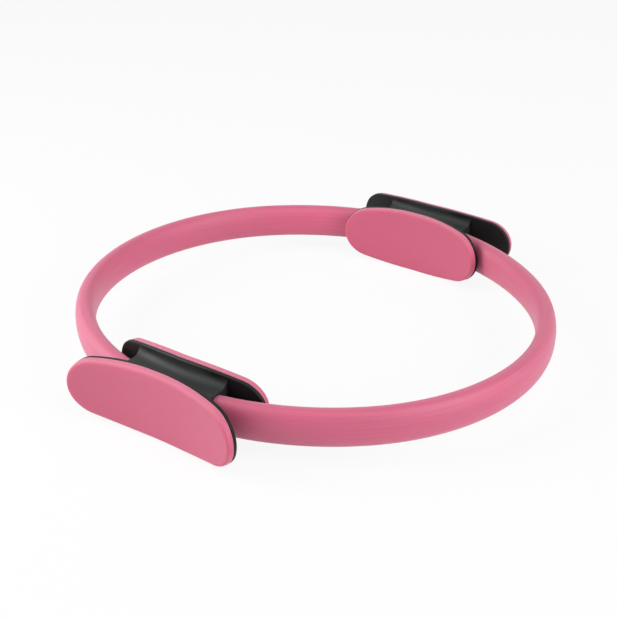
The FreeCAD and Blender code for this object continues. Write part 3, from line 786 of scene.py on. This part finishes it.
def add_camera():
    """The camera, aimed at the ring's centre."""
    setup = studio()
    lens = bpy.data.cameras.new("camera")
    lens.lens = setup.focal_length
    lens.shift_x, lens.shift_y = setup.shift_x, setup.shift_y
    camera = bpy.data.objects.new("camera", lens)
    back = direction(setup.azimuth, setup.elevation)
    camera.location = Vector((0, 0, MIDDLE_HEIGHT)) + back * setup.distance
    camera.rotation_mode = "QUATERNION"
    camera.rotation_quaternion = (-back).to_track_quat("-Z", "Y")
    bpy.context.scene.collection.objects.link(camera)
    bpy.context.scene.camera = camera


def add_softbox(name, azimuth, elevation, distance, width, height, power):
    """A soft lamp, aimed at the ring. Its azimuth, in degrees, counts from the camera's."""
    lamp = bpy.data.lights.new(name, "AREA")
    lamp.shape = "RECTANGLE"
    lamp.size, lamp.size_y, lamp.energy = width, height, power
    softbox = bpy.data.objects.new(name, lamp)
    back = direction(studio().azimuth + radians(azimuth), radians(elevation))
    softbox.location = back * distance
    softbox.rotation_mode = "QUATERNION"
    softbox.rotation_quaternion = (-back).to_track_quat("-Z", "Y")
    bpy.context.scene.collection.objects.link(softbox)


def seen_directly(tree):
    """1 for what the camera sees, straight on or in a gloss or through glass, and 0 for other light."""
    rays = tree.nodes.new("ShaderNodeLightPath").outputs
    total = calculate(tree, "MAXIMUM", rays["Is Camera Ray"], rays["Is Glossy Ray"])
    return calculate(tree, "MAXIMUM", total, rays["Is Transmission Ray"])


def set_world(strength):
    """A white surround that lights the ring gently."""
    world = bpy.data.worlds.new("surround")
    bpy.context.scene.world = world
    world.use_nodes = True
    tree = world.node_tree
    background = tree.nodes["Background"]
    background.inputs["Color"].default_value = (1.0, 1.0, 1.0, 1.0)
    level = tree.nodes.new("ShaderNodeMix")
    level.data_type = "FLOAT"
    socket(level.inputs, "A_Float").default_value = strength
    socket(level.inputs, "B_Float").default_value = 1.0
    tree.links.new(seen_directly(tree), socket(level.inputs, "Factor_Float"))
    tree.links.new(socket(level.outputs, "Result_Float"), background.inputs["Strength"])


def floor_white():
    """A white floor that keeps only a faint shadow to the eye."""
    material, tree, shader = new_material("floor_white")
    # How much of the floor is plain white to the eye; the rest takes the shadow
    white_share = 0.9
    shader.inputs["Base Color"].default_value = (0.9, 0.9, 0.9, 1.0)
    shader.inputs["Roughness"].default_value = 0.9
    glow = tree.nodes.new("ShaderNodeEmission")
    mix = tree.nodes.new("ShaderNodeMixShader")
    white = calculate(tree, "MULTIPLY", seen_directly(tree), white_share)
    tree.links.new(white, socket(mix.inputs, "Fac"))
    tree.links.new(shader.outputs["BSDF"], socket(mix.inputs, "Shader"))
    tree.links.new(glow.outputs["Emission"], socket(mix.inputs, "Shader_001"))
    tree.links.new(mix.outputs["Shader"], tree.nodes["Material Output"].inputs["Surface"])
    return material


class RING_OT_studio_stage(bpy.types.Operator):
    """Set up the floor, the light and the camera"""

    bl_idname = "ring.studio_stage"
    bl_label = "Studio Stage"

    def execute(self, context):
        builder = bmesh.new()
        bmesh.ops.create_circle(builder, cap_ends=True, segments=64, radius=studio().floor_radius)
        floor = new_piece("floor", builder)
        floor.data.materials.append(floor_white())
        set_world(strength=0.25)
        add_softbox(
            "top_softbox", azimuth=5.0, elevation=70.0, distance=1.6,
            width=1.6, height=1.0, power=5.4,
        )
        add_softbox(
            "left_softbox", azimuth=-85.0, elevation=25.0, distance=1.3,
            width=0.6, height=0.9, power=13.0,
        )
        add_softbox(
            "right_softbox", azimuth=55.0, elevation=25.0, distance=2.0,
            width=0.9, height=1.3, power=24.4,
        )
        add_camera()
        bpy.context.scene.view_settings.view_transform = "Standard"
        return {"FINISHED"}


class VIEW3D_PT_pilates_ring(bpy.types.Panel):
    """Lists the ring's sizes, finishes and steps"""

    bl_idname = "VIEW3D_PT_pilates_ring"
    bl_label = "Pilates Ring"
    bl_space_type = "VIEW_3D"
    bl_region_type = "UI"
    bl_category = "Pilates Ring"

    def draw(self, context):
        layout = self.layout
        for title, group in (("Sizes", sizes()), ("Finishes", finishes()), ("Studio", studio())):
            box = layout.box()
            box.label(text=title)
            for name in group.__annotations__:
                box.prop(group, name)
        for operator in OPERATORS:
            layout.operator(operator.bl_idname)


GROUPS = {"ring_sizes": RingSizes, "ring_finishes": RingFinishes, "ring_studio": RingStudio}
OPERATORS = (
    RING_OT_hoop_strips,
    RING_OT_foam_sleeves,
    RING_OT_handle_shells,
    RING_OT_fixings,
    RING_OT_handle_pads,
    RING_OT_studio_stage,
)
CLASSES = (*GROUPS.values(), *OPERATORS, VIEW3D_PT_pilates_ring)


def register():
    """Makes the classes and the scene's settings known."""
    for kind in CLASSES:
        bpy.utils.register_class(kind)
    for name, kind in GROUPS.items():
        setattr(bpy.types.Scene, name, bpy.props.PointerProperty(type=kind))


def unregister():
    """Takes the classes and the scene's settings away again."""
    for name in GROUPS:
        delattr(bpy.types.Scene, name)
    for kind in reversed(CLASSES):
        bpy.utils.unregister_class(kind)


def main():
    """Builds the ring and its studio."""
    register()
    bpy.ops.ring.hoop_strips()
    bpy.ops.ring.foam_sleeves()
    bpy.ops.ring.handle_shells()
    bpy.ops.ring.fixings()
    bpy.ops.ring.handle_pads()
    bpy.ops.ring.studio_stage()


if __name__ == "__main__":
    main()
